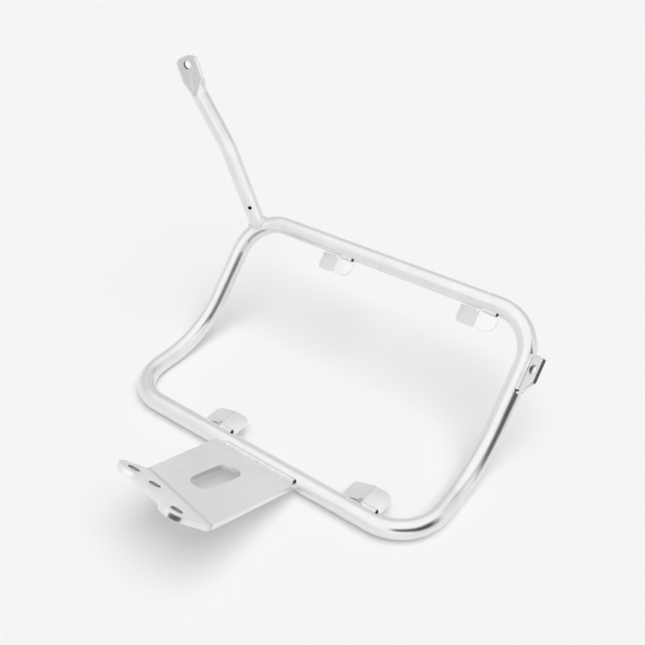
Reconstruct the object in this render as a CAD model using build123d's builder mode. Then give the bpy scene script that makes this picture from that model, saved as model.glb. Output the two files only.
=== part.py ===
"""Pannier frame for a motorbike: one bent tube loop with the pieces that are welded to it.

The frame lies as it rests: the lower part of the loop is flat on the ground and the upper part
rises from a fold across both sides. X runs along the bars, Y from the lower bar to the upper bar,
Z up. The origin is on the ground, below the middle of the lower bar. Millimetres and degrees.
"""

import os
from math import cos, pi, radians, sin, sqrt, tan

from build123d import *

# Loop: one round tube, its two ends welded together in the middle of the upper bar
tube_od = 18
tube_wall = 1.5
loop_width = 338  # between the axes of the two sides
lower_reach = 105  # from the lower bar's axis to the fold
upper_reach = 143  # from the fold to the upper bar's axis
fold_angle = 45
corner_radius = 42
fold_radius = 110
root_gap = 1.0  # between the tube's two ends, filled by the butt weld
weld_crown = 0.25  # how far the ground butt weld stands above the tube

# Strut: a thinner tube from the loop's corner, its far end pressed flat into an eye
strut_od = 17
strut_wall = 1.5
strut_lean = 23  # from upright, before the bend
strut_lean_past_bend = 34
strut_to_bend = 95
strut_bend_radius = 60
bend_to_press = 58
press_length = 11  # over which the round tube turns flat
press_crease = 12  # angle of the round tube's wall from which each pressed face widens
pressed_gap = 1.0  # left between the walls where they are pressed together
bore_end = 3  # of the tube's open bore, past the start of the press
bore_end_width = 10
die_end = 28.5  # of the rounded dent in the flat's front, from the hole's centre
die_slope = 50  # of the dent's end wall from square
die_step = 0.05  # of the dent's floor above the flat
eye_lean = 20  # of the flat from upright
eye_twist = 15  # of the flat about its own length
eye_set_forward = 2.5  # of the flat from the tube's axis
press_to_eye = 32  # from the start of the press to the hole's centre
eye_hole = 8.8
eye_edge = 8.8  # from the hole's centre to the end
eye_end_radius = 19
vent_hole = 4
vent_height = 27.2  # from the joint along the strut
vent_turn = 34  # round the strut from its front towards the right

# Case tabs: folded sheet, one half welded to a bar and the other half bent clear of it
tab_sheet = 2.5
tab_welded = 20  # length of the welded half along the bar
tab_free = 23
tab_bend = 18
tab_bend_radius = 3
tab_insets = (118, 57.5)  # of the tabs' bends from the axes of the left and right sides
tab_slit = 1.6  # between the free half and the tube
tab_relief = 2.6  # radius of the notch at the bend
tab_corner_welded = 10
tab_corner_free = 4.5
upper_tab_reach = 27  # from the bar's axis to the tab's edge
lower_tab_reach = 30
upper_tab_lift = 1  # of the tab's sheet from the bar's axis
lower_tab_lift = 5.5

# Side bracket: a flat plate on the outside of the right-hand side
bracket_sheet = 4
bracket_tilt = 35  # out of the loop's upper plane
bracket_foot = (29, 68)  # ends of the welded edge, measured from the upper bar's axis
bracket_tip = (31, 54)  # ends of the outer edge
bracket_reach = 23.5  # from the tube's axis to the outer edge
bracket_hole = 8.5
bracket_hole_at = (16.2, 43.5)  # from the tube's axis, from the upper bar's axis
bracket_corner = 2

# Mount plate: thick sheet, welded to the lower bar, with a slanting flange for three bolts
plate_sheet = 5
plate_rise = 22.5
plate_left = -41.8  # left edge at the lower bar
plate_right = 54
plate_left_at_bend = -36.3
bend_reach = 100.7  # from the bar's axis to the left end of the flange's bend
bend_skew = 12.2  # of the bend against the bar
flange_bend = 24
flange_bend_radius = 6  # inside the bend
slot_width = 23
slot_ends = (35, 87)  # from the bar's axis
slot_middle = 5.7  # along the bar
flange_depth = 30
flange_holes = ((8.5, 21.5), (32.6, 15.6), (74.3, 23))  # along the bend, out from the bend
flange_hole = 10.5
lobe_radius = 13.5  # of the flange's outline round its two outer holes
lobe_blend = 8

# Weld beads
fillet_leg = 2.6  # radius of the straight beads
strut_bead = 3.0  # how far the strut's bead reaches along each tube
bead_inset = 1.5  # of the beads from the ends of the welded edges
plate_bead_start = 11  # of the plate's upper bead from the plate's left edge

# Worked out from the driving sizes
tube_r = tube_od / 2
strut_r = strut_od / 2
half_width = loop_width / 2
fold = radians(fold_angle)
to_mid_corner = corner_radius * (1 - sqrt(0.5))

# Working planes: both have X along the bars, Y across the loop and Z out of its upper face
lower_plane = Plane(origin=(0, 0, tube_r))
upper_plane = Plane(origin=(0, lower_reach, tube_r), x_dir=(1, 0, 0), z_dir=(0, -sin(fold), cos(fold)))


def on_lower(x, y, lift=0):
    """Point of the lower plane."""
    return lower_plane.from_local_coords(Vector(x, y, lift))


def on_upper(x, y, lift=0):
    """Point of the upper plane."""
    return upper_plane.from_local_coords(Vector(x, y, lift))


# Main loop

with BuildLine() as loop_axis:
    FilletPolyline(
        on_upper(root_gap / 2, upper_reach),
        on_upper(half_width, upper_reach),
        on_upper(half_width, 0),
        on_lower(half_width, 0),
        on_lower(-half_width, 0),
        on_upper(-half_width, 0),
        on_upper(-half_width, upper_reach),
        on_upper(-root_gap / 2, upper_reach),
        radius=[corner_radius, fold_radius, corner_radius, corner_radius, fold_radius, corner_radius],
    )

loop_start = Plane(origin=loop_axis.line @ 0, z_dir=loop_axis.line % 0)

with BuildPart() as main_loop:
    with BuildSketch(loop_start):
        Circle(tube_r)
        Circle(tube_r - tube_wall, mode=Mode.SUBTRACT)
    sweep(path=loop_axis.line)

# The loop with its bore filled, to cut the other pieces to the tube's outside
with BuildPart() as loop_outside:
    with BuildSketch(loop_start):
        Circle(tube_r)
    sweep(path=loop_axis.line)

# Butt weld: a flush ring between the tube's two ends
with BuildPart() as butt_weld:
    with BuildSketch(Plane(origin=on_upper(-root_gap / 2, upper_reach), z_dir=(1, 0, 0))):
        Circle(tube_r + weld_crown)
        Circle(tube_r - tube_wall, mode=Mode.SUBTRACT)
    extrude(amount=root_gap)

# Strut: its axis lies in an upright plane through the middle of the loop's corner


def leaning(angle):
    """Direction that leans left from upright by an angle."""
    return Vector(-sin(radians(angle)), 0, cos(radians(angle)))


vent = radians(vent_turn)
twist = radians(eye_twist)
strut_dir = leaning(strut_lean)
past_bend_dir = leaning(strut_lean_past_bend)
eye_dir = leaning(eye_lean)
eye_side = leaning(eye_lean - 90) * cos(twist) + Vector(0, sin(twist), 0)
eye_front = eye_side.cross(eye_dir)
strut_root = on_upper(to_mid_corner - half_width, upper_reach - to_mid_corner)
strut_corner = strut_root + strut_dir * strut_to_bend
press_start = strut_corner + past_bend_dir * bend_to_press
flat_width = (strut_od - strut_wall) * pi / 2 + strut_wall
flat_thickness = 2 * strut_wall + pressed_gap
die_radius = (flat_width - flat_thickness) / 2
die_top_radius = die_radius + strut_r * tan(radians(die_slope))
cone_foot = (Align.CENTER, Align.CENTER, Align.MIN)

# The press starts across the round tube and ends across the flat, which is set forward a little
round_end = Plane(origin=press_start, x_dir=eye_side, z_dir=past_bend_dir)
flat_start = Plane(
    origin=press_start + eye_dir * press_length + eye_front * eye_set_forward,
    x_dir=eye_side,
    z_dir=eye_dir,
)
bore_tip = Plane(origin=press_start + eye_dir * bore_end, x_dir=eye_side, z_dir=eye_dir)
eye_plane = Plane(
    origin=flat_start.origin + eye_dir * (press_to_eye - press_length),
    x_dir=eye_side,
    z_dir=eye_front,
)
die_plane = Plane(
    origin=eye_plane.from_local_coords(Vector(0, die_radius - die_end, flat_thickness / 2 + die_step)),
    x_dir=eye_side,
    z_dir=eye_front,
)
vent_plane = Plane(
    origin=strut_root + strut_dir * vent_height,
    z_dir=leaning(strut_lean - 90) * sin(vent) - Vector(0, cos(vent), 0),
)

with BuildLine() as strut_axis:
    FilletPolyline(strut_root, strut_corner, press_start, radius=strut_bend_radius)


def creased_circle(radius):
    """Circle of two short arcs, where the pressed faces start, and two long arcs between them."""
    with BuildLine() as arcs:
        for middle, arc in ((0, 180 - press_crease), (90, press_crease)):
            CenterArc((0, 0), radius, middle - arc / 2, arc)
            CenterArc((0, 0), radius, middle + 180 - arc / 2, arc)
    make_face(arcs.edges())


with BuildPart() as upper_strut:
    with BuildSketch(Plane(origin=strut_root, z_dir=strut_dir)):
        Circle(strut_r)
    sweep(path=strut_axis.line)
    with BuildSketch(round_end):
        creased_circle(strut_r)
    with BuildSketch(flat_start):
        SlotOverall(flat_width, flat_thickness)
    loft()
    with BuildSketch(flat_start):
        SlotOverall(flat_width, flat_thickness)
    extrude(amount=press_to_eye - press_length + eye_edge)
    # rounded end and bolt hole of the eye
    with BuildSketch(eye_plane):
        with Locations((0, eye_edge)):
            Rectangle(2 * flat_width, 2 * eye_edge)
        with Locations((0, eye_edge - eye_end_radius)):
            Circle(eye_end_radius, mode=Mode.SUBTRACT)
        Circle(eye_hole / 2)
    extrude(amount=strut_od, both=True, mode=Mode.SUBTRACT)
    # front of the flat carried on towards the round tube by the die's rounded end
    with Locations(die_plane):
        Cone(die_radius, die_top_radius, strut_r, align=cone_foot, mode=Mode.SUBTRACT)
    # bore of the tube, closing to a slit where the walls are pressed together
    with BuildSketch(Plane(origin=strut_root, z_dir=strut_dir)):
        Circle(strut_r - strut_wall)
    sweep(path=strut_axis.line, mode=Mode.SUBTRACT)
    with BuildSketch(round_end):
        creased_circle(strut_r - strut_wall)
    with BuildSketch(bore_tip):
        SlotOverall(bore_end_width, pressed_gap)
    loft(mode=Mode.SUBTRACT)
    with BuildSketch(vent_plane):
        Circle(vent_hole / 2)
    extrude(amount=strut_od, mode=Mode.SUBTRACT)
    add(loop_outside.part, mode=Mode.SUBTRACT)

# Strut weld: the space close to both tubes, all round the joint
with BuildPart() as strut_weld:
    with BuildSketch(Plane(origin=strut_root, z_dir=strut_dir)):
        Circle(strut_r + strut_bead)
    extrude(amount=strut_od + tube_od)
    with BuildSketch(loop_start):
        Circle(tube_r + strut_bead)
    sweep(path=loop_axis.line, mode=Mode.INTERSECT)
    with BuildSketch(Plane(origin=strut_root, z_dir=strut_dir)):
        Circle(strut_r)
    extrude(amount=strut_od + tube_od, mode=Mode.SUBTRACT)
    add(loop_outside.part, mode=Mode.SUBTRACT)

# Case tabs and their welds

along_bar = Vector(1, 0, 0)
pieces = {}


def weld_bead(axis_point, away, face, rise, along, length):
    """Straight bead in the corner between the tube and one face of a sheet that stands away from it.

    The face looks along `face` and lies `rise` above the tube's axis.
    """
    corner = axis_point + away * sqrt(tube_r**2 - rise**2) + face * rise
    with BuildPart() as bead:
        with BuildSketch(Plane(origin=corner, x_dir=face, z_dir=along)):
            Circle(fillet_leg)
            Rectangle(fillet_leg, 2 * fillet_leg, align=(Align.MAX, Align.CENTER), mode=Mode.SUBTRACT)
        extrude(amount=length)
        add(loop_outside.part, mode=Mode.SUBTRACT)
    return bead.part


def case_tab(bar_point, inward, face, reach, lift):
    """Folded tab on a bar: welded half to the right of the bend, free half bent away to the left."""
    bend = radians(tab_bend)
    section = Plane(origin=bar_point, x_dir=along_bar, z_dir=along_bar.cross(face))
    outline = Plane(origin=bar_point, x_dir=along_bar, z_dir=along_bar.cross(inward))
    free_end = (-tab_free * cos(bend), lift - tab_free * sin(bend))
    slit_end = tube_r + tab_slit
    with BuildPart() as tab:
        with BuildSketch(section):
            with BuildLine():
                FilletPolyline(free_end, (0, lift), (tab_welded, lift), radius=tab_bend_radius)
            trace(line_width=tab_sheet)
        extrude(amount=reach, dir=inward)
        welded_corner = section.from_local_coords(Vector(tab_welded, lift)) + inward * reach
        fillet(tab.edges().sort_by_distance(welded_corner)[0], radius=tab_corner_welded)
        free_corner = section.from_local_coords(Vector(*free_end)) + inward * reach
        fillet(tab.edges().sort_by_distance(free_corner)[0], radius=tab_corner_free)
        # slit beside the tube, with a round notch where it ends at the bend
        with BuildSketch(outline):
            with Locations((-tab_free / 2, slit_end / 2)):
                Rectangle(tab_free, slit_end)
            with Locations((-tab_relief, slit_end)):
                Circle(tab_relief)
        extrude(amount=tab_free, both=True, mode=Mode.SUBTRACT)
        add(loop_outside.part, mode=Mode.SUBTRACT)
    return tab.part


upper_bar = (on_upper(0, upper_reach), upper_plane.y_dir * -1, upper_plane.z_dir)
lower_bar = (on_lower(0, 0), lower_plane.y_dir, lower_plane.z_dir)
tab_rows = (
    ("upper", upper_bar, upper_tab_reach, upper_tab_lift),
    ("lower", lower_bar, lower_tab_reach, lower_tab_lift),
)
tab_bead = tab_welded - 2 * bead_inset
tab_bends = (("left", tab_insets[0] - half_width), ("right", half_width - tab_insets[1]))
for row, (bar_middle, inward, face), reach, lift in tab_rows:
    for side, place in tab_bends:
        bar_point = bar_middle + along_bar * place
        bead_start = bar_point + along_bar * bead_inset
        rise = lift + tab_sheet / 2
        pieces[f"{row}_{side}_tab"] = case_tab(bar_point, inward, face, reach, lift)
        pieces[f"{row}_{side}_tab_weld"] = weld_bead(bead_start, inward, face, rise, along_bar, tab_bead)

# Side bracket: its plane holds the axis of the right-hand side and leans out of the loop

tilt = radians(bracket_tilt)
bracket_out = along_bar * cos(tilt) + upper_plane.z_dir * sin(tilt)
down_slope = upper_plane.y_dir * -1
bracket_plane = Plane(
    origin=on_upper(half_width, upper_reach),
    x_dir=bracket_out,
    z_dir=bracket_out.cross(down_slope),
)

with BuildPart() as side_bracket:
    with BuildSketch(bracket_plane) as bracket_outline:
        with BuildLine():
            Polyline(
                (0, bracket_foot[0]),
                (tube_r, bracket_foot[0]),
                (bracket_reach, bracket_tip[0]),
                (bracket_reach, bracket_tip[1]),
                (tube_r, bracket_foot[1]),
                (0, bracket_foot[1]),
                close=True,
            )
        make_face()
        fillet(bracket_outline.vertices().group_by(Axis.X)[-1], radius=bracket_corner)
        with Locations(bracket_hole_at):
            Circle(bracket_hole / 2, mode=Mode.SUBTRACT)
    extrude(amount=bracket_sheet / 2, both=True)
    add(loop_outside.part, mode=Mode.SUBTRACT)


bracket_bead = bracket_foot[1] - bracket_foot[0] - 2 * bead_inset
bead_start = bracket_plane.origin + down_slope * (bracket_foot[0] + bead_inset)
for name, face in (("upper", bracket_plane.z_dir * -1), ("lower", bracket_plane.z_dir)):
    pieces[f"side_bracket_{name}_weld"] = weld_bead(
        bead_start, bracket_out, face, bracket_sheet / 2, down_slope, bracket_bead
    )

# Mount plate: a flat part radial to the lower bar, and a flange folded up along a slanting line

rise = radians(plate_rise)
skew = radians(bend_skew)
turn = radians(flange_bend)
plate_out = Vector(0, -cos(rise), sin(rise))
plate_plane = Plane(origin=on_lower(0, 0), x_dir=along_bar, z_dir=along_bar.cross(plate_out))
along_bend = plate_plane.x_dir * cos(skew) + plate_plane.y_dir * sin(skew)
bend_plane = Plane(
    origin=plate_plane.from_local_coords(Vector(plate_left_at_bend, bend_reach)),
    x_dir=along_bend,
    z_dir=plate_plane.z_dir,
)
flange_plane = Plane(
    origin=bend_plane.origin,
    x_dir=along_bend,
    z_dir=bend_plane.z_dir * cos(turn) + bend_plane.y_dir * sin(turn),
)
bend_length = (plate_right - plate_left_at_bend) / cos(skew)
bend_radius = flange_bend_radius + plate_sheet / 2
bend_setback = bend_radius * tan(turn / 2)
bend_axis = Axis(bend_plane.from_local_coords(Vector(0, -bend_setback, -bend_radius)), along_bend)
bend_left = Vector(plate_left_at_bend, bend_reach) + Vector(sin(skew), -cos(skew)) * bend_setback
bend_right = bend_left + Vector(cos(skew), sin(skew)) * bend_length
first_hole, last_hole = flange_holes[0], flange_holes[-1]

with BuildPart() as mount_plate:
    with BuildSketch(plate_plane):
        with BuildLine():
            Polyline((plate_left, 0), (plate_right, 0), bend_right, bend_left, close=True)
        make_face()
        with Locations((slot_middle, sum(slot_ends) / 2)):
            SlotOverall(slot_ends[1] - slot_ends[0], slot_width, rotation=90, mode=Mode.SUBTRACT)
    extrude(amount=plate_sheet / 2, both=True)
    bend_middle = bend_plane.from_local_coords(Vector(bend_length / 2, -bend_setback))
    bend_face = mount_plate.faces().sort_by_distance(bend_middle)[0]
    revolve(bend_face, axis=bend_axis, revolution_arc=-flange_bend)
    with BuildSketch(flange_plane) as flange_outline:
        with BuildLine():
            Polyline(
                (0, bend_setback),
                (bend_length, bend_setback),
                (last_hole[0] + lobe_radius, last_hole[1]),
                last_hole,
                (last_hole[0], flange_depth),
                (first_hole[0], flange_depth),
                first_hole,
                (first_hole[0] - lobe_radius, first_hole[1]),
                close=True,
            )
        make_face()
        with Locations(first_hole, last_hole):
            Circle(lobe_radius)
        outer_edge = flange_outline.vertices().filter_by(lambda v: abs(v.Y - flange_depth) < 0.01)
        fillet(outer_edge, radius=lobe_blend)
        with Locations(*flange_holes):
            Circle(flange_hole / 2, mode=Mode.SUBTRACT)
    extrude(amount=plate_sheet / 2, both=True)
    add(loop_outside.part, mode=Mode.SUBTRACT)

plate_beads = (
    ("upper", plate_plane.z_dir * -1, plate_left + plate_bead_start),
    ("lower", plate_plane.z_dir, plate_left + bead_inset),
)
for name, face, start in plate_beads:
    pieces[f"mount_plate_{name}_weld"] = weld_bead(
        on_lower(start, 0), plate_out, face, plate_sheet / 2, along_bar, plate_right - bead_inset - start
    )

pieces["main_loop"] = main_loop.part
pieces["butt_weld"] = butt_weld.part
pieces["upper_strut"] = upper_strut.part
pieces["strut_weld"] = strut_weld.part
pieces["side_bracket"] = side_bracket.part
pieces["mount_plate"] = mount_plate.part

os.makedirs("parts", exist_ok=True)
for name, piece in pieces.items():
    piece.label = name
    export_step(piece, f"parts/{name}.step")
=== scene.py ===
"""Dressed model of a pannier frame: bent and welded bright steel tube with sheet brackets."""

from math import acos, ceil, cos, degrees, exp, floor, hypot, pi, radians, sin, sqrt, tan

import bmesh
import bpy
from mathutils import Matrix, Vector


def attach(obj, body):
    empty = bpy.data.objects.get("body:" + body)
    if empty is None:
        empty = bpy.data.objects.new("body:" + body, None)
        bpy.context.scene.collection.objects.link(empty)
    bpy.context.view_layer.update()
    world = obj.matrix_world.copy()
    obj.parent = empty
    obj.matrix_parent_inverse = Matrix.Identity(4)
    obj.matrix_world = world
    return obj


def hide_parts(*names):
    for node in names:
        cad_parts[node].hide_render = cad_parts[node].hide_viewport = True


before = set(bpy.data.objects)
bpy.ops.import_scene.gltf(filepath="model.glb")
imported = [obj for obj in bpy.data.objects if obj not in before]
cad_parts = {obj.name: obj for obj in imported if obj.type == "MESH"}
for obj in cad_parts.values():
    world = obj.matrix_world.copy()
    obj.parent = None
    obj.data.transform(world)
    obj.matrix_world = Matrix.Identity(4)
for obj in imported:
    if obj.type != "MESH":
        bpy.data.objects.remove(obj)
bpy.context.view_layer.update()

# The loop: one length of drawn steel tube, bent at four corners and folded across both sides.
# Satin polished, with faint lines along the tube from drawing and a little handling wear.

mm = 0.001
tube_r = 9 * mm
half_width, lower_reach, upper_reach = 169 * mm, 105 * mm, 143 * mm
corner_radius, fold_radius = 42 * mm, 110 * mm
half_gap = 0.5 * mm
fold = radians(45)
upper_up = Vector((0, -sin(fold), cos(fold)))
up_slope = Vector((0, cos(fold), sin(fold)))
along_bar = Vector((1, 0, 0))
loop_sides = 56
bend_step = 2.5  # degrees from ring to ring of a bend


def on_lower(x, y):
    """Point in the flat part's middle plane."""
    return Vector((x, y, tube_r))


def on_upper(x, y):
    """Point in the raised part's middle plane."""
    return Vector((x, lower_reach, tube_r)) + up_slope * y


def bent_axis(corners, radii):
    """Points along a bent tube's axis, with an arc at each corner."""
    axis = [corners[0]]
    for before, corner, after, radius in zip(corners, corners[1:], corners[2:], radii):
        come, go = (corner - before).normalized(), (after - corner).normalized()
        turn = come.angle(go)
        side = (go - come * come.dot(go)).normalized()
        start = corner - come * radius * tan(turn / 2)
        steps = ceil(degrees(turn) / bend_step)
        for k in range(steps + 1):
            a = turn * k / steps
            axis.append(start + come * radius * sin(a) + side * radius * (1 - cos(a)))
    return axis + [corners[-1]]


def heading(axis, k):
    """Direction of a tube's axis at one of its points."""
    return (axis[min(k + 1, len(axis) - 1)] - axis[max(k - 1, 0)]).normalized()


def skin(rings, around, closed=False):
    """Faces from each ring of points to the next, and from the last to the first if closed."""
    faces = []
    for k in range(rings if closed else rings - 1):
        here, ahead = k * around, (k + 1) % rings * around
        for j in range(around):
            n = (j + 1) % around
            faces.append((here + j, here + n, ahead + n, ahead + j))
    return faces


def end_faces(rings, around):
    """One face over each end of a skin."""
    last = (rings - 1) * around
    return [tuple(range(around - 1, -1, -1)), tuple(range(last, last + around))]


def add_piece(name, points, faces, material, replaced, slot):
    """Smooth mesh piece that stands for some nodes of the frame."""
    mesh = bpy.data.meshes.new(name)
    mesh.from_pydata(points, [], faces)
    mesh.polygons.foreach_set("use_smooth", [True] * len(faces))
    mesh.materials.append(material)
    piece = bpy.data.objects.new(name, mesh)
    bpy.context.collection.objects.link(piece)
    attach(piece, "root")
    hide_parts(*replaced)
    return piece


class Value:
    """A shader value: sums of values add Math nodes, and `node` adds any other kind."""

    def __init__(self, tree, socket=None):
        self.tree, self.socket = tree, socket

    def node(self, kind, settings, sockets, give=0):
        """Adds a node with its settings and its sockets' values or links, and gives one output."""
        made = self.tree.nodes.new("ShaderNode" + kind)
        for name, setting in settings.items():
            setattr(made, name, setting)
        for name, value in sockets.items():
            if isinstance(value, Value):
                self.tree.links.new(value.socket, made.inputs[name])
            else:
                made.inputs[name].default_value = value
        return Value(self.tree, made.outputs[give])

    def math(self, operation, *values):
        """Adds a Math node."""
        return self.node("Math", {"operation": operation}, dict(enumerate(values)))

    def __add__(self, other):
        return self.math("ADD", self, other)

    def __sub__(self, other):
        return self.math("SUBTRACT", self, other)

    def __rsub__(self, other):
        return self.math("SUBTRACT", other, self)

    def __mul__(self, other):
        return self.math("MULTIPLY", self, other)

    __radd__, __rmul__ = __add__, __mul__

    def __abs__(self):
        return self.math("ABSOLUTE", self)

    def larger(self, other):
        """The larger of two values."""
        return self.math("MAXIMUM", self, other)

    def step(self, low, high):
        """0 below `low`, 1 above `high`, smooth between."""
        limits = {"Value": self, "From Min": low, "From Max": high}
        return self.node("MapRange", {"interpolation_type": "SMOOTHSTEP"}, limits)

    def axis(self, index):
        """One of these coordinates."""
        return self.node("SeparateXYZ", {}, {"Vector": self}, index)

    def stretched(self, x, y, z):
        """These coordinates, scaled along each axis."""
        return self.node("VectorMath", {"operation": "MULTIPLY"}, {0: self, 1: (x, y, z)})

    def noise(self, scale, detail=2.0, roughness=0.5):
        """Soft noise over these coordinates, about 0.5."""
        sizes = {"Vector": self, "Scale": scale, "Detail": detail, "Roughness": roughness}
        return self.node("TexNoise", {}, sizes)

    def between(self, low, high):
        """Colour between two, by this value."""
        low, high = (end if isinstance(end, Value) else (*end, 1) for end in (low, high))
        return self.node("Mix", {"data_type": "RGBA"}, {0: self, 6: low, 7: high}, 2)

    def bump(self, strength, distance):
        """Normal of a surface that has this value as its height."""
        sizes = {"Strength": strength, "Distance": distance, "Height": self}
        return self.node("Bump", {}, sizes)


def new_steel(name):
    """Bare steel: a material, its start value, its coordinates and its shader node."""
    material = bpy.data.materials.new(name)
    material.use_nodes = True
    start = Value(material.node_tree)
    shader = material.node_tree.nodes["Principled BSDF"]
    shader.inputs["Metallic"].default_value = 1
    return material, start, start.node("TexCoord", {}, {}, "Object"), shader


def lay(value, shader, name):
    """Feeds one of a shader's sockets."""
    value.tree.links.new(value.socket, shader.inputs[name])


lines_along, lines_across = 12, 2600  # drawing lines in a metre
tube_steel, start, place, shader = new_steel("satin_tube")
run = start.node("UVMap", {"uv_map": "run"}, {})
drawn_lines = run.stretched(lines_along, lines_across, 0).noise(1, 3)
handling = place.noise(55, 3)
rubbed = place.noise(14, 2).step(0.5, 0.72)
satin = handling.step(0.3, 0.75).between((0.824, 0.824, 0.83), (0.865, 0.865, 0.87))
lay(satin, shader, "Base Color")
lay(0.2 + 0.05 * drawn_lines + 0.05 * handling + 0.04 * rubbed, shader, "Roughness")
lay(drawn_lines.bump(0.05, 0.03 * mm), shader, "Normal")

loop_corners = [
    on_upper(half_gap, upper_reach), on_upper(half_width, upper_reach), on_upper(half_width, 0),
    on_lower(half_width, 0), on_lower(-half_width, 0), on_upper(-half_width, 0),
    on_upper(-half_width, upper_reach), on_upper(-half_gap, upper_reach),
]
loop_axis = bent_axis(loop_corners, [corner_radius, fold_radius, corner_radius] * 2)
loop_axis.insert(1, on_upper(2 * half_gap, upper_reach))
loop_axis.insert(-1, on_upper(-2 * half_gap, upper_reach))

lengths = [0]
for before, here in zip(loop_axis, loop_axis[1:]):
    lengths.append(lengths[-1] + (here - before).length)
points = []
side = upper_up.copy()
for k, here in enumerate(loop_axis):
    ahead = heading(loop_axis, k)
    side = (side - ahead * side.dot(ahead)).normalized()
    across = ahead.cross(side)
    for j in range(loop_sides):
        a = 2 * pi * j / loop_sides
        points.append(here + (side * cos(a) + across * sin(a)) * tube_r)
wall, ends = skin(len(loop_axis), loop_sides), end_faces(len(loop_axis), loop_sides)
loop = add_piece("loop_tube", points, wall + ends, tube_steel, ["main_loop"], "tube")
run_map = loop.data.uv_layers.new(name="run")
for face in loop.data.polygons:
    face.use_smooth = face.index < len(wall)
    at_seam = face.use_smooth and face.index % loop_sides == loop_sides - 1
    for corner, vertex in zip(face.loop_indices, face.vertices):
        turn = vertex % loop_sides
        if at_seam and turn == 0:
            turn = loop_sides
        round_tube = 2 * pi * tube_r * turn / loop_sides
        run_map.data[corner].uv = (lengths[vertex // loop_sides], round_tube)

# Beads: each joint is welded with a thin rippled bead, cleaned and left bright. Where a bead stops,
# its end is painted near black, a painted shade of the dark gap there. The loop's own butt joint is
# ground almost flush, so it shows as a faint ring.

weld_steel, start, place, shader = new_steel("cleaned_weld")
end_shade_black = (0.07, 0.066, 0.062)
frost = place.noise(420, 3, 0.6)
stain = place.noise(120, 2)
to_end = start.node("UVMap", {"uv_map": "to_end"}, {}).axis(0)
# Painted shade: near black over the last millimetres of each open bead, which is rougher there too.
shaded_end = 1 - (to_end + 0.8 * mm * frost).step(1.4 * mm, 2.8 * mm)
clean = stain.step(0.35, 0.7).between((0.82, 0.82, 0.825), (0.89, 0.89, 0.893))
lay(shaded_end.between(clean, end_shade_black), shader, "Base Color")
lay(0.24 + 0.12 * frost + 0.06 * stain + 0.3 * shaded_end, shader, "Roughness")
lay(frost.bump(0.3, 0.1 * mm), shader, "Normal")

bead_sides, blunt_end = 16, 0.05
ripple_pitch, ripple_depth, ripple_bow = 1.5 * mm, 0.09, 0.9
uneven_ripples, uneven_run = 0.03, 0.02


def bead(name, path, size, flat=1.0, closed=False):
    """Rippled bead along a path of points, each with the two directions that its surface faces."""
    points, to_end, length = [], [], 0
    total = sum((b[0] - a[0]).length for a, b in zip(path, path[1:]))
    for k, (point, out, face) in enumerate(path):
        if k:
            length += (point - path[k - 1][0]).length
        to_end.append(1 if closed else total - length)
        end = 1 if closed else min(length, total - length) / size
        taper = sqrt(max(blunt_end**2, 1 - (1 - min(end, 1)) ** 2))
        for j in range(bead_sides):
            a = 2 * pi * j / bead_sides
            crest = max(sin(a + pi / 4), 0)
            phase = (length + ripple_bow * size * crest) / ripple_pitch
            wobble = uneven_ripples * sin(2.4 * floor(phase) + 1) + uneven_run * sin(0.9 * phase)
            ripple = 1 - ripple_depth * abs(2 * (phase % 1) - 1) ** 2 + wobble
            grow = size * taper * ripple
            points.append(point + (out * cos(a) + face * sin(a) * flat) * grow)
    faces = skin(len(path), bead_sides, closed)
    if not closed:
        faces += end_faces(len(path), bead_sides)
    piece = add_piece(name + "_bead", points, faces, weld_steel, [name], "weld")
    end_map = piece.data.uv_layers.new(name="to_end")
    for corner in piece.data.loops:
        end_map.data[corner.index].uv = (to_end[corner.vertex_index // bead_sides], 0)


butt_size, butt_depth, butt_flat, butt_points = 1.12 * mm, 0.95 * mm, 1.3, 240
butt_middle = on_upper(0, upper_reach)
butt_ring = []
for k in range(butt_points):
    a = 2 * pi * k / butt_points
    out = upper_up * cos(a) + up_slope * sin(a)
    butt_ring.append((butt_middle + out * (tube_r - butt_depth), out, along_bar))
bead("butt_weld", butt_ring, butt_size, butt_flat, closed=True)

# The strut: a thinner steel tube welded to the loop's corner, bent once and vented near its foot.
# A die presses its far end into a dull flat that narrows to a rounded tip, with a shallow groove
# where the walls met; the groove is painted lighter than the flat round it, a painted highlight.
# The flat is drilled for a bolt, and the hole's wall is painted near black: painted shade inside
# the hole, partly the dark oxide of drilling.

strut_r, strut_wall = 8.5 * mm, 1.5 * mm
strut_lean, past_bend_lean, eye_lean, eye_twist = 23, 34, 20, 15  # degrees
strut_bend_radius, strut_to_bend, bend_to_press = 60 * mm, 95 * mm, 58 * mm
press_length, press_to_eye, eye_set_forward = 11 * mm, 32 * mm, 2.5 * mm
flat_thickness = 4 * mm
flat_width = (strut_r - strut_wall / 2) * pi + strut_wall
eye_edge, eye_end_radius, eye_broken_edge = 8.8 * mm, 19 * mm, 0.35 * mm
eye_hole_r, eye_sink_width, eye_sink_depth = 4.4 * mm, 0.35 * mm, 0.3 * mm
die_radius, die_tip_radius, die_slope = (flat_width - flat_thickness) / 2, 4.5 * mm, radians(20)
die_narrows, die_tip, die_discs = (0, -12 * mm), (-2.6 * mm, -24.8 * mm), 24
die_end, die_edge, die_soft = 2 * mm, 1.5 * mm, 0.5 * mm
groove_low, groove_low_fade = -28 * mm, 4 * mm
groove_high, groove_high_fade = -6 * mm, 5 * mm
groove_width, groove_depth, groove_lean, groove_middle = 1.8 * mm, 0.4 * mm, 0.2, -8 * mm
vent_height, vent_turn, vent_r = 27.2 * mm, radians(34), 2 * mm
vent_from, vent_to = 5 * mm, 12 * mm
strut_sides, press_rings, flat_rings, edge_rings, drill_sides = 112, 44, 26, 4, 40
close_rings, close_step, bore_short = 12, 0.5, 4  # before the press, the step in millimetres
flat_from, flat_to = 0.2, 0.98  # shares of the flat between the press and the broken edge

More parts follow.
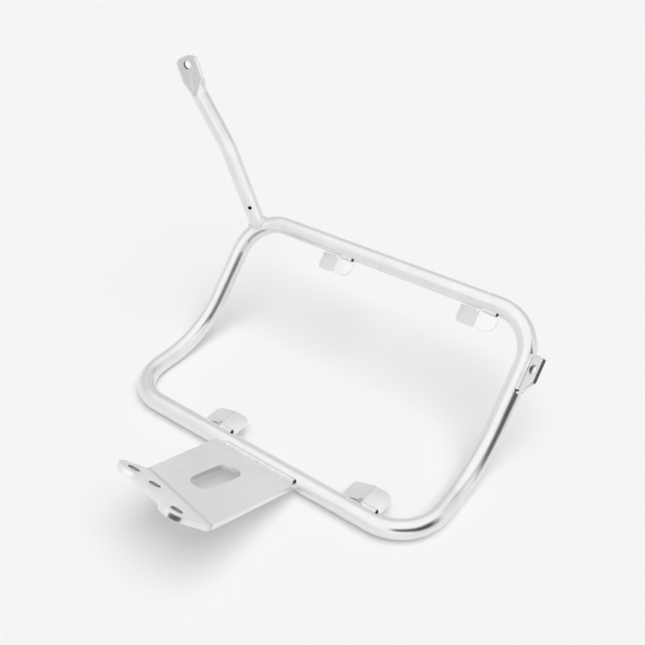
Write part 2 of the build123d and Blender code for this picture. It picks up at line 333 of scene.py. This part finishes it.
strut_steel, start, place, shader = new_steel("satin_strut")
# Near black for the bolt hole's wall: painted shade inside the hole, partly dark oxide.
shaded_hole_wall = (0.16, 0.158, 0.155)
leaned = {"Vector": place, "Angle": radians(28)}
along_strut = start.node("VectorRotate", {"rotation_type": "Y_AXIS"}, leaned)
strut_lines = along_strut.stretched(lines_across, lines_across, lines_along).noise(1, 3)
handling = place.noise(55, 3)
work_and_shade = start.node("UVMap", {"uv_map": "work_and_shade"}, {})
hole_shade, flat_and_groove_highlight = work_and_shade.axis(0), work_and_shade.axis(1)
bright = handling.step(0.3, 0.75).between((0.80, 0.80, 0.81), (0.84, 0.84, 0.85))
dull = place.noise(180, 3, 0.6).between((0.62, 0.62, 0.63), (0.72, 0.72, 0.73))
# The flat's dull grey is lighter along the groove: a painted highlight.
lay(hole_shade.between(flat_and_groove_highlight.between(bright, dull), shaded_hole_wall), shader, "Base Color")
lay(0.2 + 0.05 * strut_lines + 0.05 * handling + 0.1 * flat_and_groove_highlight, shader, "Roughness")
lay(strut_lines.bump(0.05, 0.03 * mm), shader, "Normal")


def leaning(angle):
    """Direction that leans left from upright by an angle in degrees."""
    return Vector((-sin(radians(angle)), 0, cos(radians(angle))))


strut_dir, past_bend_dir, eye_dir = leaning(strut_lean), leaning(past_bend_lean), leaning(eye_lean)
eye_turned = Vector((0, sin(radians(eye_twist)), 0))
eye_side = leaning(eye_lean - 90) * cos(radians(eye_twist)) + eye_turned
eye_front = eye_side.cross(eye_dir)
to_mid_corner = corner_radius * (1 - sqrt(0.5))
strut_root = on_upper(to_mid_corner - half_width, upper_reach - to_mid_corner)
strut_corner = strut_root + strut_dir * strut_to_bend
press_start = strut_corner + past_bend_dir * bend_to_press
flat_start = press_start + eye_dir * press_length + eye_front * eye_set_forward
eye_middle = flat_start + eye_dir * (press_to_eye - press_length)


def round_ring(middle, ahead, radius):
    """Ring of points square to the tube."""
    across = (eye_side - ahead * eye_side.dot(ahead)).normalized()
    front = across.cross(ahead)
    turns = (2 * pi * j / strut_sides for j in range(strut_sides))
    return [middle + (across * cos(a) - front * sin(a)) * radius for a in turns]


def flat_point(share, inset):
    """Point of the pressed section at a share of its way round, as side and front."""
    r = flat_thickness / 2 - inset
    straight = flat_width - flat_thickness
    half = straight / 2
    way = share * (2 * straight + 2 * pi * r)
    for middle, begin, sweep, hand in ((half, 0, pi / 2, -1), (-half, pi / 2, pi, 1)):
        if way <= sweep * r:
            return middle + r * cos(begin + way / r), r * sin(begin + way / r)
        way -= sweep * r
        if way <= straight:
            return middle + hand * way, -hand * r
        way -= straight
    turn = 3 * pi / 2 + way / r
    return half + r * cos(turn), r * sin(turn)


def flat_ring(part, inset=0.0):
    """Ring of the pressed flat: part 0 is at its start, part 1 at its rounded end."""
    low = press_length - press_to_eye
    ring = []
    for j in range(strut_sides):
        side, front = flat_point((strut_sides - j) % strut_sides / strut_sides, inset)
        end = eye_edge - eye_end_radius + sqrt(eye_end_radius**2 - side**2)
        along = low + (end - low) * part
        ring.append(eye_middle + eye_side * side + eye_front * front + eye_dir * along)
    return ring


def on_eye(point):
    """A point's place from the eye's middle: to the side, along the strut and to the front."""
    return [(point - eye_middle).dot(axis) for axis in (eye_side, eye_dir, eye_front)]


def off_die(side, along):
    """How far a place on the flat lies outside the die, which narrows to a rounded tip."""
    (x, y), (tip_x, tip_y) = die_narrows, die_tip
    if along > y:
        return abs(side) - die_radius
    gaps = []
    for k in range(die_discs + 1):
        t = k / die_discs
        from_disc = hypot(side - x - (tip_x - x) * t, along - y - (tip_y - y) * t)
        gaps.append(from_disc - die_radius - (die_tip_radius - die_radius) * t)
    return min(gaps)


def clamped(number):
    """A number, kept from 0 to 1."""
    return max(0, min(1, number))


def in_groove(side, along):
    """1 in the middle of the groove down the flat, 0 away from it."""
    above, below = (along - groove_low) / groove_low_fade, (groove_high - along) / groove_high_fade
    off = (side - groove_lean * (along - groove_middle)) / groove_width
    return clamped(above) * clamped(below) * exp(-(off**2))


def pressed(point):
    """Point of the strut, pushed in where the die reaches it."""
    side, along, front = on_eye(point)
    if front < 0 or along > die_end:
        return point
    away = off_die(side, along)
    surface = flat_thickness / 2 + max(away, 0) / tan(die_slope)
    kept = min(front, surface)
    if away > -die_edge:
        blend = max(die_soft - abs(front - surface), 0) / die_soft
        kept -= blend * blend * die_soft / 4
    return point + eye_front * (kept - groove_depth * in_groove(side, along) - front)


def closed_rings(rings):
    """Points and faces of a skin over rings, its two ends closed by strips across them."""
    around = len(rings[0])
    points = [point for ring in rings for point in ring]
    faces = skin(len(rings), around)
    last = (len(rings) - 1) * around
    for j in range(around // 2):
        strip = tuple(dict.fromkeys((j, (around - j) % around, around - j - 1, j + 1)))
        faces.append(strip)
        faces.append(tuple(last + i for i in reversed(strip)))
    return points, faces


def cut_out(piece, points, faces):
    """Cuts a solid out of a piece."""
    mesh = bpy.data.meshes.new("cutter")
    mesh.from_pydata(points, [], faces)
    cutter = bpy.data.objects.new("cutter", mesh)
    bpy.context.collection.objects.link(cutter)
    cut = piece.modifiers.new("cut", "BOOLEAN")
    cut.object, cut.operation, cut.solver = cutter, "DIFFERENCE", "EXACT"
    bpy.context.view_layer.update()
    whole = piece.evaluated_get(bpy.context.evaluated_depsgraph_get())
    result = bpy.data.meshes.new_from_object(whole)
    piece.modifiers.clear()
    old, piece.data = piece.data, result
    bpy.data.objects.remove(cutter)
    bpy.data.meshes.remove(mesh)
    bpy.data.meshes.remove(old)


def drill(middle, axis, across, steps):
    """Round cutter along an axis through a point: each step is a height and a radius."""
    other = axis.cross(across)
    turns = [2 * pi * j / drill_sides for j in range(drill_sides)]
    return closed_rings([
        [middle + axis * height + (across * cos(a) + other * sin(a)) * radius for a in turns]
        for height, radius in steps
    ])


strut_axis = bent_axis([strut_root, strut_corner, press_start], [strut_bend_radius])
strut_axis.pop()
for k in range(close_rings, -1, -1):
    strut_axis.append(press_start - past_bend_dir * k * close_step * mm)
rings, bore = [], []
for k, here in enumerate(strut_axis):
    ahead = heading(strut_axis, k)
    rings.append(round_ring(here, ahead, strut_r))
    bore.append(round_ring(here, ahead, strut_r - strut_wall))
tube_end, flat_begin = rings[-1], flat_ring(flat_from)
for k in range(1, press_rings):
    b = k / press_rings
    b = b * b * (3 - 2 * b)
    rings.append([p.lerp(q, b) for p, q in zip(tube_end, flat_begin)])
for k in range(flat_rings):
    rings.append(flat_ring(flat_from + k / flat_rings * (flat_to - flat_from)))
for k in range(edge_rings):
    a = pi / 2 * k / (edge_rings - 1)
    inset, short = eye_broken_edge * (1 - cos(a)), eye_broken_edge * (1 - sin(a))
    rings.append([p - eye_dir * short for p in flat_ring(1, inset)])
rings = [[pressed(point) for point in ring] for ring in rings]
strut = add_piece("strut_tube", *closed_rings(rings), strut_steel, ["upper_strut"], "tube")
cut_out(strut, *closed_rings(bore[:-bore_short]))

vent_at = strut_root + strut_dir * vent_height
vent_dir = -leaning(strut_lean + 90) * sin(vent_turn) - Vector((0, cos(vent_turn), 0))
vent_across = strut_dir.cross(vent_dir)
vent_steps = [(vent_from, vent_r), (vent_to, vent_r)]
cut_out(strut, *drill(vent_at, vent_dir, vent_across, vent_steps))

sink_r, deep = eye_hole_r + eye_sink_width, flat_thickness / 2
eye_steps = [(-3 * deep, sink_r), (-deep, sink_r), (eye_sink_depth - deep, eye_hole_r)]
eye_steps += [(-height, radius) for height, radius in reversed(eye_steps)]
cut_out(strut, *drill(eye_middle, eye_front, eye_side, eye_steps))

sharp_edge = radians(32)
strut.data.set_sharp_from_angle(angle=sharp_edge)
hole_slack, wall_tilt = 0.1 * mm, 0.3
flat_front, flat_dulled, groove_highlight = 1.4 * mm, 1.1, 0.55
work_and_shade_map = strut.data.uv_layers.new(name="work_and_shade")
for face in strut.data.polygons:
    side, along, _ = on_eye(face.center)
    # Faces of the bolt hole's wall are marked for the painted shade.
    near_hole = hypot(side, along) < eye_hole_r + hole_slack
    in_hole = near_hole and abs(face.normal.dot(eye_front)) < wall_tilt
    for corner, vertex in zip(face.loop_indices, face.vertices):
        side, along, front = on_eye(strut.data.vertices[vertex].co)
        dull_flat_and_groove_highlight = clamped(0.5 - off_die(side, along) / mm) if front > flat_front else 0
        # Along the groove the flat keeps less of its dull grey: a painted highlight.
        dull_flat_and_groove_highlight *= flat_dulled - groove_highlight * in_groove(side, along)
        work_and_shade_map.data[corner].uv = (in_hole, 0 if in_hole else dull_flat_and_groove_highlight)

# The strut's bead: one closed run of weld round the strut's coped foot, of the same cleaned steel.
# It lies in the corner between the two tubes, and rises and falls over the bent loop.

saddle_size, saddle_points = 2.3 * mm, 260
saddle_top, halvings = 45 * mm, 30
corner_middle = on_upper(corner_radius - half_width, upper_reach - corner_radius)


def from_corner_axis(point):
    """Vector from the nearest point of the loop's bent corner axis."""
    away = point - corner_middle
    away -= upper_up * away.dot(upper_up)
    return point - (corner_middle + away.normalized() * corner_radius)


saddle = []
for k in range(saddle_points):
    a = 2 * pi * k / saddle_points
    out = leaning(strut_lean - 90) * cos(a) + Vector((0, sin(a), 0))
    low, high = 0, saddle_top
    for _ in range(halvings):
        middle = (low + high) / 2
        outside = from_corner_axis(strut_root + out * strut_r + strut_dir * middle).length > tube_r
        low, high = (low, middle) if outside else (middle, high)
    point = strut_root + out * strut_r + strut_dir * low
    saddle.append((point, out, from_corner_axis(point).normalized()))
bead("strut_weld", saddle, saddle_size, closed=True)

# The mount plate: thick steel sheet, laser-cut with a rounded slot and folded up along a slant.
# Its fine cut edges are broken, the rolled faces are tumbled to a dull even grey, and a bead
# along each face welds it to the lower bar. The walls of its holes and slot are painted dark, as
# painted shade inside them and partly the dark oxide of cutting, and its bend is painted a darker
# grey, a painted shade along the crease.

sheet_steel, start, place, shader = new_steel("tumbled_sheet")
# Painted shade: the grey in the middle of a bend, and the darker grey on the walls of holes and the
# slot, partly dark oxide there.
bend_shade_grey, hole_shade_grey = (0.7, 0.7, 0.71), (0.46, 0.455, 0.45)
grain = place.noise(2600, 2)
mottle = place.noise(320, 3, 0.6)
scuffs = place.noise(35, 4, 0.7).step(0.52, 0.7)
work_and_shade = start.node("UVMap", {"uv_map": "work_and_shade"}, {})
hole_shade, bend_shade = work_and_shade.axis(0), work_and_shade.axis(1)
faced = mottle.step(0.3, 0.72).between((0.86, 0.86, 0.875), (0.90, 0.90, 0.915))
lay(hole_shade.between(bend_shade.between(faced, bend_shade_grey), hole_shade_grey), shader, "Base Color")
lay(0.26 + 0.06 * grain + 0.05 * mottle - 0.04 * scuffs + 0.15 * hole_shade, shader, "Roughness")
lay(grain.bump(0.15, 0.05 * mm), shader, "Normal")

arc_step = 7  # degrees from point to point of a cut arc
bend_cuts = 6
# How dark hole and slot walls are painted as shade, and which levels of the wall get it.
round_hole_shade, slot_shade, shaded_levels, round_enough = 1, 0.4, range(2, 7), 1.05
broken_edge = [(1, 0), (0.617, 0.076), (0.293, 0.293), (0.076, 0.617), (0, 1)]


def arc(middle, radius, begin, end):
    """Points of an arc, its angles in degrees."""
    steps = max(2, ceil(abs(end - begin) / arc_step))
    turns = [radians(begin + (end - begin) * k / steps) for k in range(steps + 1)]
    return [(middle[0] + radius * cos(a), middle[1] + radius * sin(a)) for a in turns]


def cut_hole(middle, radius):
    """Points round a hole."""
    return arc(middle, radius, 0, arc_step - 360)


def cut_blank(outlines, thickness, edge):
    """Flat sheet with broken edges, in millimetres, from its rim and the outlines of its holes.
    Marks the walls of the holes for painted shade inside them, the small round ones most; partly it
    stands for the dark oxide that cutting leaves."""
    blank = bmesh.new()
    work_and_shade_map = blank.loops.layers.uv.new("work_and_shade")
    levels = [(edge * inset, thickness / 2 - edge * drop) for inset, drop in broken_edge]
    levels += [(inset, -z) for inset, z in reversed(levels)]
    caps = [[], []]
    for outline in outlines:
        spots, count = [Vector(spot) for spot in outline], len(outline)
        inward = []
        for k, here in enumerate(spots):
            come = (here - spots[k - 1]).normalized()
            go = (spots[(k + 1) % count] - here).normalized()
            way = Vector((-come.y - go.y, come.x + go.x))
            inward.append(way * (2 / max(way.length_squared, 0.5)))
        loops = []
        for inset, z in levels:
            moved = [here + way * inset for here, way in zip(spots, inward)]
            loops.append([blank.verts.new((spot.x, spot.y, z)) for spot in moved])
        wall_shade = 0
        if outline is not outlines[0]:
            middle = sum(spots, Vector((0, 0))) / count
            reaches = [(spot - middle).length for spot in spots]
            is_round = max(reaches) < round_enough * min(reaches)
            wall_shade = round_hole_shade if is_round else slot_shade
        for level, (one, other) in enumerate(zip(loops, loops[1:])):
            for k in range(count):
                n = (k + 1) % count
                wall = blank.faces.new((one[k], other[k], other[n], one[n]))
                for corner in wall.loops:
                    corner[work_and_shade_map].uv = (wall_shade if level in shaded_levels else 0, 0)
        for cap, loop in zip(caps, (loops[0], loops[-1])):
            cap += [blank.edges.get((loop[k], loop[(k + 1) % count])) for k in range(count)]
    for cap in caps:
        bmesh.ops.triangle_fill(blank, use_beauty=True, edges=cap)
    return blank


def bend(blank, start, along, radius, angle):
    """Bends a sheet from a line on, up or down by an angle in degrees, and marks the bend for a
    painted shade along its crease.
    """
    work_and_shade_map = blank.loops.layers.uv["work_and_shade"]
    start, along = Vector((*start, 0)), Vector((*along, 0)).normalized()
    out = Vector((-along.y, along.x, 0))
    up, angle = 1 if angle > 0 else -1, abs(radians(angle))
    begin = -radius * tan(angle / 2)
    for k in range(bend_cuts + 1):
        line = start + out * (begin + radius * angle * k / bend_cuts)
        everything = blank.verts[:] + blank.edges[:] + blank.faces[:]
        bmesh.ops.bisect_plane(blank, geom=everything, plane_co=line, plane_no=out)
    for vertex in blank.verts:
        far = (vertex.co - start).dot(out)
        if far > begin:
            turn = min((far - begin) / radius, angle)
            # Painted shade, darkest in the middle of the bend.
            for corner in vertex.link_loops:
                corner[work_and_shade_map].uv.y = sin(pi * sqrt(turn / angle))
            rest = far - begin - radius * turn
            z = vertex.co.z
            folded = begin + radius * sin(turn) + rest * cos(turn) - up * z * sin(turn)
            vertex.co += out * (folded - far)
            vertex.co.z = up * (radius * (1 - cos(turn)) + rest * sin(turn)) + z * cos(turn)


def set_sheet(name, blank, settle, node):
    """Sets a sheet in its place, as the piece that stands for a node."""
    for vertex in blank.verts:
        vertex.co = settle(*(vertex.co * mm))
    bmesh.ops.recalc_face_normals(blank, faces=blank.faces)
    piece = add_piece(name, [], [], sheet_steel, [node], "sheet")
    for face in blank.faces:
        face.smooth = True
    blank.to_mesh(piece.data)
    blank.free()
    piece.data.set_sharp_from_angle(angle=sharp_edge)


plate_rise = radians(22.5)
plate_out = Vector((0, -cos(plate_rise), sin(plate_rise)))
plate_up = Vector((0, sin(plate_rise), cos(plate_rise)))
plate_thickness, plate_edge = 5, 0.4
plate_left, plate_right, plate_foot, plate_left_at_bend = -41.8, 54, 8.2, -36.3
bend_reach, bend_skew, bend_radius, bend_angle = 100.7, radians(12.2), 18, 24
slot_ends, slot_middle, slot_r = (35, 87), 5.7, 11.5
flange_depth, lobe_r, lobe_blend, flange_hole_r = 30, 13.5, 8, 5.25
flange_holes = ((8.5, 21.5), (32.6, 15.6), (74.3, 23))
bend_along = (cos(bend_skew), sin(bend_skew))
bend_length = (plate_right - plate_left_at_bend) / bend_along[0]


def on_flange(points):
    """Points along and out from the bend, laid flat with the plate."""
    (c, s), left, reach = bend_along, plate_left_at_bend, bend_reach
    return [(left + x * c - y * s, reach + x * s + y * c) for x, y in points]


flange_edge = [(bend_length, 0)]
for (x, y), hand in ((flange_holes[2], 1), (flange_holes[0], -1)):
    rise = flange_depth + lobe_blend - y
    apart = sqrt((lobe_r + lobe_blend) ** 2 - rise**2)
    meet = degrees(acos(apart / (lobe_r + lobe_blend)))
    lobe = arc((0, y), lobe_r, 0, 180 - meet) + arc((-apart, y + rise), lobe_blend, -meet, -90)
    flange_edge += [(x + hand * across, out) for across, out in lobe[::hand]]
flange_edge.append((0, 0))
plate_rim = [(plate_left, plate_foot), (plate_right, plate_foot), *on_flange(flange_edge)]
slot_rim = arc((slot_middle, slot_ends[1] - slot_r), slot_r, 180, 0)
slot_rim += arc((slot_middle, slot_ends[0] + slot_r), slot_r, 0, -180)
bolt_holes = [on_flange(cut_hole(middle, flange_hole_r)) for middle in flange_holes]
plate = cut_blank([plate_rim, slot_rim, *bolt_holes], plate_thickness, plate_edge)
bend(plate, (plate_left_at_bend, bend_reach), bend_along, bend_radius, bend_angle)
set_sheet("slotted_plate", plate,
          lambda x, y, z: on_lower(x, 0) + plate_out * y + plate_up * z, "mount_plate")

fillet_size, fillet_lift, fillet_step = 2.4 * mm, 0.3 * mm, 0.25 * mm


def fillet(name, begin, along, length, out, face, rise):
    """Straight bead where a sheet's face, at a rise from the tube's axis, meets the tube."""
    foot = begin + out * sqrt(tube_r**2 - rise**2) + face * (rise + fillet_lift)
    steps = ceil(length / fillet_step)
    path = [(foot + along * length * k / steps, out, face) for k in range(steps + 1)]
    bead(name, path, fillet_size)


plate_bead_right = 52.5 * mm
for name, face, left in (("upper", plate_up, -30.8 * mm), ("lower", -plate_up, -40.3 * mm)):
    fillet(f"mount_plate_{name}_weld", on_lower(left, 0), along_bar, plate_bead_right - left,
           plate_out, face, plate_thickness / 2 * mm)

# The case tabs: thin steel sheet, one half welded along a bar and the other bent clear of it.
# A slit frees the bent half from the tube, and a round notch keeps the bend from tearing.


def rounded(before, here, after, radius):
    """Points of a rounded corner of an outline."""
    ends = [Vector((*spot, 0)) for spot in (before, here, after)]
    return [(spot.x, spot.y) for spot in bent_axis(ends, [radius])[1:-1]]


tab_thickness, tab_edge, tab_bend_radius, tab_bend_angle = 2.5, 0.3, 3, -18
tab_welded, tab_free, tab_slit, tab_relief = 20, 23, 9.6, 2.6
welded_corner, free_corner, slit_corner = 10, 4.5, 0.8
tab_bead_from, tab_bead_length = 1.5 * mm, 17 * mm
tab_places = {"left": -51 * mm, "right": 111.5 * mm}
tab_rows = {
    "upper": (on_upper(0, upper_reach), -up_slope, upper_up, 27, 1.0, 8.2),
    "lower": (on_lower(0, 0), Vector((0, 1, 0)), Vector((0, 0, 1)), 30, 5.5, 5.6),
}
for row, (bar, inward, face, reach, lift, inside) in tab_rows.items():
    far = [(tab_welded, inside), (tab_welded, reach), (-tab_free, reach), (-tab_free, tab_slit)]
    notch = arc((-tab_relief, tab_slit), tab_relief, 180, 0)
    tab_rim = [(0, inside), far[0]]
    tab_rim += rounded(*far[:3], welded_corner) + rounded(*far[1:], free_corner)
    tab_rim += rounded(far[2], far[3], notch[0], slit_corner) + notch
    for hand, along in tab_places.items():
        tab = cut_blank([tab_rim], tab_thickness, tab_edge)
        bend(tab, (0, 0), (0, 1), tab_bend_radius, tab_bend_angle)
        set_sheet(
            f"{row}_{hand}_case_tab", tab,
            lambda x, y, z: bar + along_bar * (along + x) + inward * y + face * (lift * mm + z),
            f"{row}_{hand}_tab",
        )
        fillet(f"{row}_{hand}_tab_weld", bar + along_bar * (along + tab_bead_from), along_bar,
               tab_bead_length, inward, face, (lift + tab_thickness / 2) * mm)

# The side bracket: a small drilled plate of the same tumbled sheet, on the loop's right-hand side.
# It is cut to follow the tube, tilts up from it and is welded by a bead along each face.

bracket_tilt = radians(35)
bracket_out = along_bar * cos(bracket_tilt) + upper_up * sin(bracket_tilt)
bracket_up = upper_up * cos(bracket_tilt) - along_bar * sin(bracket_tilt)
bracket_top = on_upper(half_width, upper_reach)
bracket_thickness, bracket_edge, bracket_corner = 4, 0.35, 2
bracket_hole, bracket_hole_r = (16.2, 43.5), 4.25
bracket_bead_from, bracket_bead_length = 30.5, 36
tips = [(8, 29), (23.5, 31), (23.5, 54), (9, 68)]
bracket_rim = [(8, 68), tips[0]]
bracket_rim += rounded(*tips[:3], bracket_corner) + rounded(*tips[1:], bracket_corner)
bracket_rim.append(tips[3])
bracket = cut_blank([bracket_rim, cut_hole(bracket_hole, bracket_hole_r)],
                    bracket_thickness, bracket_edge)
set_sheet("drilled_bracket", bracket,
          lambda x, y, z: bracket_top + bracket_out * x - up_slope * y + bracket_up * z,
          "side_bracket")
bead_begin = bracket_top - up_slope * bracket_bead_from * mm
for name, face in (("upper", bracket_up), ("lower", -bracket_up)):
    fillet(f"side_bracket_{name}_weld", bead_begin, -up_slope, bracket_bead_length * mm,
           bracket_out, face, bracket_thickness / 2 * mm)

# Floor: a wide pale paper that the frame lies on, matt and even. Part of its brightness comes from
# the paper itself, as on a light table, so that shadows on it stay soft and pale.

floor_r, floor_sides, floor_glow = 7, 96, 0.15
paper_white, paper_matt = (0.913, 0.913, 0.913), (0.88, 0.88, 0.88)
floor_mesh = bpy.data.meshes.new("floor")
turns = [2 * pi * k / floor_sides for k in range(floor_sides)]
floor_rim = [Vector((floor_r * cos(a), floor_r * sin(a), 0)) for a in turns]
floor_mesh.from_pydata(floor_rim, [], [tuple(range(floor_sides))])
paper = bpy.data.materials.new("pale_paper")
paper.use_nodes = True
start = Value(paper.node_tree)
matt = start.node("BsdfDiffuse", {}, {"Color": (*paper_matt, 1)})
glow = start.node("Emission", {}, {"Color": (*paper_white, 1), "Strength": 1})
seen = start.node("LightPath", {}, {}, "Is Camera Ray")
for ray in ("Is Glossy Ray", "Is Transmission Ray"):
    seen = seen.larger(start.node("LightPath", {}, {}, ray))
sheen = start.node("MixShader", {}, {0: floor_glow * seen, 1: matt, 2: glow})
lay(sheen, paper.node_tree.nodes["Material Output"], "Surface")
floor_mesh.materials.append(paper)
floor_piece = bpy.data.objects.new("floor", floor_mesh)
bpy.context.collection.objects.link(floor_piece)

# Light: a soft lamp overhead, a little to the right and front, in a pale room. In the metal the
# room shows a white ceiling, a white wall on the right, a white panel in front, and a back wall
# that is grey at the top and darker at its skirting and its doorway.

softbox = bpy.data.lights.new("softbox", "SUN")
softbox.energy, softbox.angle = 2.02, radians(60)
softbox_object = bpy.data.objects.new("softbox", softbox)
softbox_object.rotation_euler = (radians(2), radians(16.7), 0)
softbox_object.visible_glossy = False
bpy.context.collection.objects.link(softbox_object)

room = bpy.data.worlds.new("room")
room.use_nodes = True
bpy.context.scene.world = room
start = Value(room.node_tree)
direction = start.node("TexCoord", {}, {}, "Generated")


def facing(way):
    """How far a direction of the room points along a way."""
    return start.node("VectorMath", {"operation": "DOT_PRODUCT"}, {0: direction, 1: way}, 1)


height = facing((0, 0, 1))
ceiling = height.step(0.66, 0.86)
right_wall = facing((0.86, -0.41, 0.3)).step(0.5, 0.75) * (1 - height.step(0.5, 0.66))
front_panel = facing((-0.12, -0.67, 0.73)).step(0.84, 0.96)
white = ceiling.larger(right_wall).larger(front_panel)
back_wall = facing((-0.4, 0.92, 0)).step(0, 0.6)
doorway = facing((0.5, 0.85, 0.17)).step(0.86, 0.97)
skirting = facing((-0.5, 0.87, 0)).step(0.6, 0.95) * (1 - height.step(0.05, 0.2))
rear = facing((-0.6, 0.8, 0)).step(-0.1, 0.5)
wall_foot = 1 - height.step(0.08, 0.3)
wall_top = height.step(0.2, 0.4) * (1 - height.step(0.56, 0.74))
share = 0.62 + 0.38 * white - 0.1 * back_wall - 0.2 * skirting
share = share + rear * (0.15 * wall_foot - 0.17 * wall_top) - 0.1 * doorway
mirrored = share.between((0.5, 0.5, 0.5), (1.1, 1.1, 1.1))
lit = start.node("LightPath", {}, {}, "Is Glossy Ray").between((0.42, 0.42, 0.42), mirrored)
for ray in ("Is Camera Ray", "Is Transmission Ray"):
    lit = start.node("LightPath", {}, {}, ray).between(lit, paper_white)
lay(lit, room.node_tree.nodes["Background"], "Color")

# Cards: black cards stand close to the right tube and the flange, and a grey one with a pale back
# close to the left tube, so that the bright metal gets dark stripes. The right one is black only
# along two bands that follow the tube. All of them show only in reflections.

right_card_x, left_card_x, left_back_x = 0.205, -0.14, -0.139
right_outline = [(-0.25, 0), (0.2, 0), (0.2, 0.2), (-0.25, 0.2)]
left_outline = [(0.1165, 0.0285), (0.173, 0.085), (0.15, 0.108), (0.0935, 0.0515)]
card_corners = [(right_card_x, y, z) for y, z in right_outline]
card_corners += [
    (0.0682, -0.1286, 0.0741), (0.067, -0.1394, 0.0636),
    (0.0349, -0.1592, 0.0874), (0.0361, -0.1484, 0.0979),
]
for x in (left_card_x, left_back_x):
    card_corners += [(x, y, z) for y, z in left_outline]
card_mesh = bpy.data.meshes.new("card")
card_mesh.from_pydata(card_corners, [], [tuple(range(k, k + 4)) for k in (0, 4, 8, 12)])
cloth = bpy.data.materials.new("dark_card")
cloth.use_nodes = True
start = Value(cloth.node_tree)
place = start.node("TexCoord", {}, {}, "Object")
across, along, level = place.axis(0), place.axis(1), place.axis(2)
small, left = 1 - across.step(0.08, 0.12), 1 - across.step(-0.1, -0.05)
tone = 0.03 + left * (0.2 + 0.5 * across.step(-0.1398, -0.1392))
back = 0.92 * (1 - abs(level - 0.75 * along + 0.034).step(0.016, 0.044))
back = back * along.step(0.094, 0.11) * (1 - along.step(0.185, 0.195))
forward = (0 - along).larger(0)
from_front = abs(level - 0.7 * forward - 0.036) - 0.22 * forward
front = (1 - from_front.step(0.008, 0.032)) * (1 - along.step(0.02, 0.06))
bands = back.larger(front * along.step(-0.19, -0.1))
dark = start.node("Emission", {}, {"Color": tone.between((0, 0, 0), (1, 1, 1)), "Strength": 1})
air = start.node("BsdfTransparent", {}, {})
hung = start.node("MixShader", {}, {0: bands.larger(small), 1: air, 2: dark})
lay(hung, cloth.node_tree.nodes["Material Output"], "Surface")
card_mesh.materials.append(cloth)
card = bpy.data.objects.new("card", card_mesh)
bpy.context.collection.objects.link(card)
card.visible_camera = card.visible_diffuse = card.visible_shadow = False

# Camera: where the photograph was taken from, above the frame and to its right, turned left and
# down. Its lens, place and angles were fitted to the edges of the loop's tube.

camera = bpy.data.cameras.new("camera")
camera.lens, camera.sensor_width, camera.sensor_fit = 46.95, 36, "HORIZONTAL"
camera.clip_start, camera.clip_end = 0.01, 50
camera_at = (0.387694, -0.387623, 0.560092)
yaw, pitch, roll = radians(-38.2969), radians(36.4035), radians(-1.6180)
ahead_level = Vector((sin(yaw), cos(yaw), 0))
right = Vector((cos(yaw), -sin(yaw), 0))
down = -ahead_level * sin(pitch) - Vector((0, 0, cos(pitch)))
ahead = ahead_level * cos(pitch) - Vector((0, 0, sin(pitch)))
right, down = right * cos(roll) - down * sin(roll), right * sin(roll) + down * cos(roll)
turned = Matrix((right, -down, -ahead)).transposed()
camera_object = bpy.data.objects.new("camera", camera)
camera_object.matrix_world = Matrix.Translation(camera_at) @ turned.to_4x4()
bpy.context.collection.objects.link(camera_object)
bpy.context.scene.camera = camera_object
bpy.context.scene.view_settings.view_transform = "Standard"
